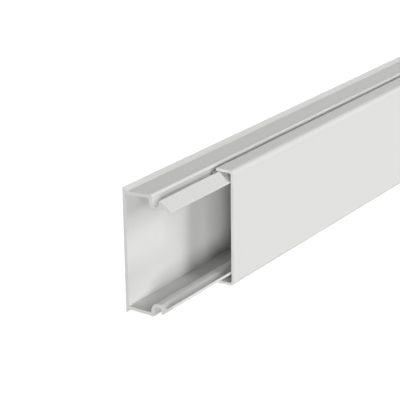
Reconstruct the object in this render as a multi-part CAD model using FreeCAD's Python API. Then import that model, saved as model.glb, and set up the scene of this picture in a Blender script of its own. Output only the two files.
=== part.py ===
import FreeCAD, Part
import math
import os

# Cord cover raceway: a base channel and its snap-on cover, two straight extrusions clipped together.
# It lies on its back. X runs along the length, Y across the width, Z up from the back. Millimetres.

# Lengths
stock_length = 2000.0
cover_slide = 31.2

# Base channel
base_width = 39.0
raceway_depth = 18.0
back_wall = 1.0
side_wall = 1.0
back_edge_radius = 0.15
inner_corner_radius = 0.4

# Sloping rib along each back edge
rib_depth = 1.7
rib_proud = 1.0
rib_edge = 0.3
rib_edge_radius = 0.15
rib_foot_radius = 0.15

# Side walls splay outwards up to a bead
side_splay = 0.25
bead_start = 9.2
bead_proud = 0.2
bead_foot_radius = 0.15
bead_radius = 0.7
bead_overhang = 0.5
bead_taper = 1.15

# Snap groove behind the bead, open outwards
groove_start = 10.1
groove_radius = 1.34
groove_depth = 3.35
groove_rear_wall = 0.9
groove_floor_wall = 0.85
groove_outer_radius = 2.4
groove_mouth_radius = 0.6

# Lip that folds over the front of the groove and runs inwards
lip_angle = 37.0
lip_wall = 0.8
lip_edge_radius = 0.25
fold_radius = 0.3
web_reach = 1.86
web_angle = 27.0
web_radius = 0.8
notch_radius = 0.25

# Cover
cover_wall = 0.85
cover_radius = 1.4
cover_inner_radius = 0.6
flange_edge_radius = 0.3
hook_wall = 0.7
hook_sweep = 165.0
hook_root_radius = 0.1

# Clearances between the two pieces
cover_inset = 0.95
hook_clearance = 0.13
fold_clearance = 0.06
lip_clearance = 0.15


def wall_y(z):
    """Return how far out the outer face of the splayed side wall is at a depth."""
    return base_width / 2 - rib_proud + side_splay * (z - rib_depth) / (bead_start - rib_depth)


# Places that both pieces take their shape from
groove_floor_y = wall_y(bead_start) - groove_depth
groove_centre_y = groove_floor_y + groove_radius
groove_centre_z = groove_start + groove_radius
groove_front_z = groove_start + 2 * groove_radius
flange_y = base_width / 2 - cover_inset
flange_inner_y = flange_y - cover_wall
cover_inner_z = raceway_depth - cover_wall
base_start_x = -(stock_length + cover_slide) / 2
cover_start_x = base_start_x + cover_slide


def bead_corners():
    """Corners of the side wall's outer face and of the bead at its top."""
    foot_y = wall_y(bead_start)
    top_y = foot_y + bead_proud
    front_z = groove_start + bead_overhang
    return [
        (foot_y, bead_start, bead_foot_radius),
        (top_y, bead_start + bead_proud, bead_foot_radius),
        (top_y, front_z, bead_radius),
        (foot_y - bead_taper, groove_start, groove_mouth_radius),
    ]


def lip_corners():
    """Corners of the fold, the lip and the web under it, out to the tip and back to the groove."""
    angle = math.radians(lip_angle)
    fold_top_y = flange_inner_y - fold_clearance
    fold_y = fold_top_y - fold_radius + fold_radius * (1 + math.sin(angle)) / math.cos(angle)
    tip_z = cover_inner_z - lip_clearance
    tip_y = fold_y - (tip_z - groove_front_z) * math.tan(angle)
    under_y = tip_y - lip_wall * math.cos(angle)
    under_z = tip_z - lip_wall * math.sin(angle)
    notch_z = groove_front_z + web_reach
    notch_y = under_y + (under_z - notch_z) * math.tan(angle)
    bottom_y = groove_floor_y - groove_floor_wall
    web_z = notch_z - (notch_y - bottom_y) / math.tan(math.radians(web_angle))
    return [
        (fold_y, groove_front_z, fold_radius),
        (tip_y, tip_z, lip_edge_radius),
        (under_y, under_z, lip_edge_radius),
        (notch_y, notch_z, notch_radius),
        (bottom_y, web_z, web_radius),
    ]


def base_corners():
    """Half outline of the base, from the back edge round the groove and lip to the inside corner."""
    rear_z = groove_start - groove_rear_wall
    return [
        (base_width / 2, 0, back_edge_radius),
        (base_width / 2, rib_edge, rib_edge_radius),
        (wall_y(rib_depth), rib_depth, rib_foot_radius),
        *bead_corners(),
        (groove_floor_y, groove_start, groove_radius),
        (groove_floor_y, groove_front_z, groove_radius),
        *lip_corners(),
        (groove_floor_y - groove_floor_wall, rear_z, groove_outer_radius),
        (wall_y(rear_z) - side_wall, rear_z, inner_corner_radius),
        (wall_y(back_wall) - side_wall, back_wall, inner_corner_radius),
    ]


def hook_side(radius):
    """Two corners of a hook face that stays one radius from the groove's centre line."""
    turn = math.radians(hook_sweep - 90)
    side_y = groove_centre_y - radius
    return [
        (side_y, groove_centre_z + radius, radius),
        (side_y, groove_centre_z - radius * math.tan(turn / 2), radius),
    ]


def hook_tip(radius):
    """Corner of the hook's rounded tip on the face with this radius."""
    sweep = math.radians(hook_sweep)
    round_radius = hook_wall / 2
    tip_y = groove_centre_y - radius * math.sin(sweep) - round_radius * math.cos(sweep)
    tip_z = groove_centre_z + radius * math.cos(sweep) - round_radius * math.sin(sweep)
    return (tip_y, tip_z, round_radius)


def cover_corners():
    """Half outline of the cover, from the front corner round the flange and hook to the inside."""
    outer = groove_radius - hook_clearance
    inner = outer - hook_wall
    return [
        (flange_y, raceway_depth, cover_radius),
        (flange_y, groove_centre_z + inner, flange_edge_radius),
        *hook_side(inner),
        hook_tip(inner),
        hook_tip(outer),
        *reversed(hook_side(outer)),
        (flange_inner_y, groove_centre_z + outer, hook_root_radius),
        (flange_inner_y, cover_inner_z, cover_inner_radius),
    ]


def rounded_wire(corners):
    """Join corners (y, z, radius) by straight runs, with a tangent arc at each corner."""
    points = [FreeCAD.Vector(0, y, z) for y, z, radius in corners]
    arcs = []
    for i, (y, z, radius) in enumerate(corners):
        back = (points[i - 1] - points[i]).normalize()
        ahead = (points[(i + 1) % len(points)] - points[i]).normalize()
        half_angle = back.getAngle(ahead) / 2
        reach = radius / math.tan(half_angle)
        to_centre = (back + ahead).normalize()
        middle = points[i] + to_centre * (radius / math.sin(half_angle) - radius)
        arcs.append(Part.Arc(points[i] + back * reach, middle, points[i] + ahead * reach))
    edges = []
    for arc, following in zip(arcs, arcs[1:] + arcs[:1]):
        edges.append(arc.toShape())
        if arc.EndPoint.distanceToPoint(following.StartPoint) > 1e-6:
            edges.append(Part.LineSegment(arc.EndPoint, following.StartPoint).toShape())
    return Part.Wire(edges)


def extrusion(half_outline, start_x):
    """Mirror a half outline to the other side and extrude the whole section along the length."""
    mirrored = [(-y, z, radius) for y, z, radius in reversed(half_outline)]
    section = Part.Face(rounded_wire(half_outline + mirrored))
    section.translate(FreeCAD.Vector(start_x, 0, 0))
    return section.extrude(FreeCAD.Vector(stock_length, 0, 0))


def main():
    os.makedirs("parts", exist_ok=True)
    pieces = {
        "base_channel": extrusion(base_corners(), base_start_x),
        "cover": extrusion(cover_corners(), cover_start_x),
    }
    for name, solid in pieces.items():
        solid.exportStep("parts/" + name + ".step")
        print(name, "valid", solid.isValid(), "volume", round(solid.Volume, 1))


main()
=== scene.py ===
import math
import bpy
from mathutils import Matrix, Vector


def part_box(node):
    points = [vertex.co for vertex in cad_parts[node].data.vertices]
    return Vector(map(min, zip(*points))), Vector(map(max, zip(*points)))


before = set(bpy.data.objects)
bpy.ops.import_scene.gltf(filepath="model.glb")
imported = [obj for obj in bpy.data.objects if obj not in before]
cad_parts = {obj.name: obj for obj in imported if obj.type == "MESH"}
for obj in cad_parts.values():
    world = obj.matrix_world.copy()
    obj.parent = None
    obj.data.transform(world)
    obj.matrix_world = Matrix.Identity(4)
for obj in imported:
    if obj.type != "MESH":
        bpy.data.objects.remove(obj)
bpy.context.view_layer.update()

# The raceway lies on its back on the floor. X runs along it, Z out of its front. Metres.

# Camera, measured from the middle of the near end's back edge
IMAGE_SIZE = 400
FOCAL_PIXELS = 1608.7
CAMERA_OFFSET = Vector((-0.35271, 0.16899, 0.26231))
CAMERA_YAW = 56.276
CAMERA_PITCH = 19.308
CAMERA_ROLL = -0.887
SENSOR_WIDTH = 36.0

# Plastic, where a sawn end is duller than the skin, and its colour is painted a little lighter as
# painted light on the end faces
PLASTIC_COLOUR = (0.7, 0.7, 0.69)
PLASTIC_IOR = 1.52
SKIN_ROUGHNESS = 0.42
SKIN_ROUGHNESS_CHANGE = 0.06
CUT_ROUGHNESS = 0.62
CUT_PAINTED_LIGHT = 0.07
CUT_FACING = 0.9

# Each pattern below has its feature size along X, Y and Z.
# Extrusion lines run along X: fine across, drawn out along the length
LINE_SIZE = (0.25, 0.0006, 0.0006)
LINE_DETAIL = 3.0
LINE_HEIGHT = 0.000004

# Fine grain of the skin, and slow changes of its tone
GRAIN_SIZE = (0.00025, 0.00025, 0.00025)
GRAIN_DETAIL = 2.0
GRAIN_HEIGHT = 0.0000015
TONE_SIZE = (0.12, 0.02, 0.02)
TONE_DETAIL = 1.0
TONE_DARK = 0.99
TONE_LIGHT = 1.02

# Saw marks run across the sawn ends
SAW_SIZE = (1.0, 0.01, 0.0004)
SAW_DETAIL = 2.0
SAW_HEIGHT = 0.000015

# Soft distant lamps: height above the floor and turn, in degrees, then level.
# Turn 0 comes from the near end, 90 from the left side (+Y), 180 from the far end.
LAMP_SPREAD = 16.0
LAMPS = {
    "near": (35, 358, 0.64),
    "near_left": (50, 20, 0.2),
    "high_left": (74, 80, 0.23),
    "left": (58, 106, 0.2),
    "low_left": (8, 100, 0.24),
    "far_right": (50, 225, 0.11),
}

# Floor, in its own colour to the lamps and with a glow where it is looked at
FLOOR_COLOUR = (0.24, 0.24, 0.24)
FLOOR_GLOW = 0.85
FLOOR_SIZE = 40.0


def node(tree, kind, **settings):
    """Add a shader node and set its properties."""
    made = tree.nodes.new(kind)
    for name, value in settings.items():
        setattr(made, name, value)
    return made


def empty_tree(owner):
    """Turn on the nodes of a material or world and clear them."""
    owner.use_nodes = True
    owner.node_tree.nodes.clear()
    return owner.node_tree


def math_node(tree, operation, *values):
    """Result of an operation on one or two values, where each is a socket or a number."""
    made = node(tree, "ShaderNodeMath", operation=operation)
    for socket, value in zip(made.inputs, values):
        if isinstance(value, (int, float)):
            socket.default_value = value
        else:
            tree.links.new(value, socket)
    return made.outputs["Value"]


def between(tree, factor, low, high):
    """Value that goes from low to high with the factor."""
    made = node(tree, "ShaderNodeMapRange")
    made.inputs["To Min"].default_value = low
    made.inputs["To Max"].default_value = high
    tree.links.new(factor, made.inputs["Value"])
    return made.outputs["Result"]


def stretched_noise(tree, place, size, detail):
    """Noise over the object's own coordinates, with one feature size for each axis."""
    mapping = node(tree, "ShaderNodeMapping")
    mapping.inputs["Scale"].default_value = [1 / s for s in size]
    noise = node(tree, "ShaderNodeTexNoise")
    noise.inputs["Scale"].default_value = 1.0
    noise.inputs["Detail"].default_value = detail
    tree.links.new(place.outputs["Object"], mapping.inputs["Vector"])
    tree.links.new(mapping.outputs["Vector"], noise.inputs["Vector"])
    return noise.outputs["Fac"]


def sawn_end(tree, place):
    """One on the faces that look along the length, and zero elsewhere."""
    split = node(tree, "ShaderNodeSeparateXYZ")
    tree.links.new(place.outputs["Normal"], split.inputs["Vector"])
    along = math_node(tree, "ABSOLUTE", split.outputs["X"])
    return math_node(tree, "GREATER_THAN", along, CUT_FACING)


def surface_relief(tree, place, lines, cut):
    """Bumped normal, with lines and grain everywhere and saw marks on the sawn ends."""
    grain = stretched_noise(tree, place, GRAIN_SIZE, GRAIN_DETAIL)
    saw = stretched_noise(tree, place, SAW_SIZE, SAW_DETAIL)
    line_height = math_node(tree, "MULTIPLY", lines, LINE_HEIGHT)
    grain_height = math_node(tree, "MULTIPLY", grain, GRAIN_HEIGHT)
    skin_height = math_node(tree, "ADD", line_height, grain_height)
    saw_height = math_node(tree, "MULTIPLY", math_node(tree, "MULTIPLY", saw, SAW_HEIGHT), cut)
    bump = node(tree, "ShaderNodeBump")
    bump.inputs["Distance"].default_value = 1.0
    tree.links.new(math_node(tree, "ADD", skin_height, saw_height), bump.inputs["Height"])
    return bump.outputs["Normal"]


def surface_colour(tree, place, lines, cut):
    """The plastic's colour with slow changes of tone, and painted lighter on the sawn ends as painted
    light.
    """
    tone = math_node(tree, "MULTIPLY", stretched_noise(tree, place, TONE_SIZE, TONE_DETAIL), lines)
    shade = between(tree, tone, TONE_DARK, TONE_LIGHT)
    # Painted light: the faces that look along the length get a lighter colour that stands in for light
    # on them
    painted_end_light = math_node(tree, "MULTIPLY", cut, CUT_PAINTED_LIGHT)
    tint = node(tree, "ShaderNodeMix", data_type="RGBA", blend_type="MULTIPLY")
    tint.inputs["Factor"].default_value = 1.0
    tint.inputs["A"].default_value = (*PLASTIC_COLOUR, 1.0)
    tree.links.new(math_node(tree, "ADD", shade, painted_end_light), tint.inputs["B"])
    return tint.outputs["Result"]


def surface_roughness(tree, lines, cut):
    """Satin skin that changes a little with the lines, and a dull sawn end."""
    low = SKIN_ROUGHNESS - SKIN_ROUGHNESS_CHANGE
    high = SKIN_ROUGHNESS + SKIN_ROUGHNESS_CHANGE
    rough = node(tree, "ShaderNodeMix", data_type="FLOAT")
    rough.inputs["B"].default_value = CUT_ROUGHNESS
    tree.links.new(cut, rough.inputs["Factor"])
    tree.links.new(between(tree, lines, low, high), rough.inputs["A"])
    return rough.outputs["Result"]


def plastic(name):
    """Satin extruded plastic, with faint lines along the length and sawn ends."""
    material = bpy.data.materials.new(name)
    tree = empty_tree(material)
    place = node(tree, "ShaderNodeTexCoord")
    lines = stretched_noise(tree, place, LINE_SIZE, LINE_DETAIL)
    cut = sawn_end(tree, place)
    shader = node(tree, "ShaderNodeBsdfPrincipled")
    shader.inputs["IOR"].default_value = PLASTIC_IOR
    tree.links.new(surface_colour(tree, place, lines, cut), shader.inputs["Base Color"])
    tree.links.new(surface_roughness(tree, lines, cut), shader.inputs["Roughness"])
    tree.links.new(surface_relief(tree, place, lines, cut), shader.inputs["Normal"])
    output = node(tree, "ShaderNodeOutputMaterial")
    tree.links.new(shader.outputs["BSDF"], output.inputs["Surface"])
    return material


def dress(node_name, slot):
    """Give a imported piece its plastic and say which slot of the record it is."""
    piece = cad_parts[node_name]
    piece.data.materials.clear()
    piece.data.materials.append(plastic(slot))


def seen_directly(tree):
    """One where the camera, a reflection or a refraction looks, and zero for other light."""
    path = node(tree, "ShaderNodeLightPath")
    seen = math_node(tree, "MAXIMUM", path.outputs["Is Camera Ray"], path.outputs["Is Glossy Ray"])
    return math_node(tree, "MAXIMUM", seen, path.outputs["Is Transmission Ray"])


def floor_paper():
    """Grey paper that looks white, as it glows where it is looked at."""
    material = bpy.data.materials.new("floor_paper")
    tree = empty_tree(material)
    diffuse = node(tree, "ShaderNodeBsdfDiffuse")
    diffuse.inputs["Color"].default_value = (*FLOOR_COLOUR, 1.0)
    glow = node(tree, "ShaderNodeEmission")
    tree.links.new(math_node(tree, "MULTIPLY", seen_directly(tree), FLOOR_GLOW), glow.inputs["Strength"])
    both = node(tree, "ShaderNodeAddShader")
    tree.links.new(diffuse.outputs["BSDF"], both.inputs[0])
    tree.links.new(glow.outputs["Emission"], both.inputs[1])
    output = node(tree, "ShaderNodeOutputMaterial")
    tree.links.new(both.outputs["Shader"], output.inputs["Surface"])
    return material


def lay_floor():
    """Level floor at the back face."""
    half = FLOOR_SIZE / 2
    mesh = bpy.data.meshes.new("floor")
    corners = [(-half, -half, 0), (half, -half, 0), (half, half, 0), (-half, half, 0)]
    mesh.from_pydata(corners, [], [(0, 1, 2, 3)])
    mesh.materials.append(floor_paper())
    floor = bpy.data.objects.new("floor", mesh)
    bpy.context.scene.collection.objects.link(floor)


def paint_sky():
    """Sky that is white where it is looked at and gives no other light."""
    world = bpy.data.worlds.new("sky")
    bpy.context.scene.world = world
    tree = empty_tree(world)
    background = node(tree, "ShaderNodeBackground")
    background.inputs["Color"].default_value = (1.0, 1.0, 1.0, 1.0)
    tree.links.new(seen_directly(tree), background.inputs["Strength"])
    output = node(tree, "ShaderNodeOutputWorld")
    tree.links.new(background.outputs["Background"], output.inputs["Surface"])


def hang_lamp(name, height, turn, level):
    """Distant soft lamp, where level 1 lights a white face that looks at it as pure white."""
    lamp = bpy.data.lights.new(name, "SUN")
    lamp.energy = level * math.pi
    lamp.angle = math.radians(LAMP_SPREAD)
    hung = bpy.data.objects.new(name, lamp)
    up = math.radians(height)
    around = math.radians(turn)
    flat = math.cos(up)
    towards = Vector((-flat * math.cos(around), flat * math.sin(around), math.sin(up)))
    hung.rotation_euler = towards.to_track_quat("Z", "Y").to_euler()
    bpy.context.scene.collection.objects.link(hung)


def place_camera():
    """Camera at the photograph's viewing angle. Turned by nothing, it looks down on the front face."""
    near_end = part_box("base_channel")[0].x
    data = bpy.data.cameras.new("camera")
    data.sensor_width = SENSOR_WIDTH
    data.lens = FOCAL_PIXELS * SENSOR_WIDTH / IMAGE_SIZE
    camera = bpy.data.objects.new("camera", data)
    camera.location = Vector((near_end, 0, 0)) + CAMERA_OFFSET
    camera.rotation_mode = "ZXY"
    camera.rotation_euler = [math.radians(a) for a in (-CAMERA_PITCH, -CAMERA_YAW, CAMERA_ROLL)]
    bpy.context.scene.collection.objects.link(camera)
    bpy.context.scene.camera = camera


place_camera()
dress("base_channel", "base_plastic")
dress("cover", "cover_plastic")
lay_floor()
paint_sky()
for name, (height, turn, level) in LAMPS.items():
    hang_lamp(name, height, turn, level)
bpy.context.scene.view_settings.view_transform = "Standard"
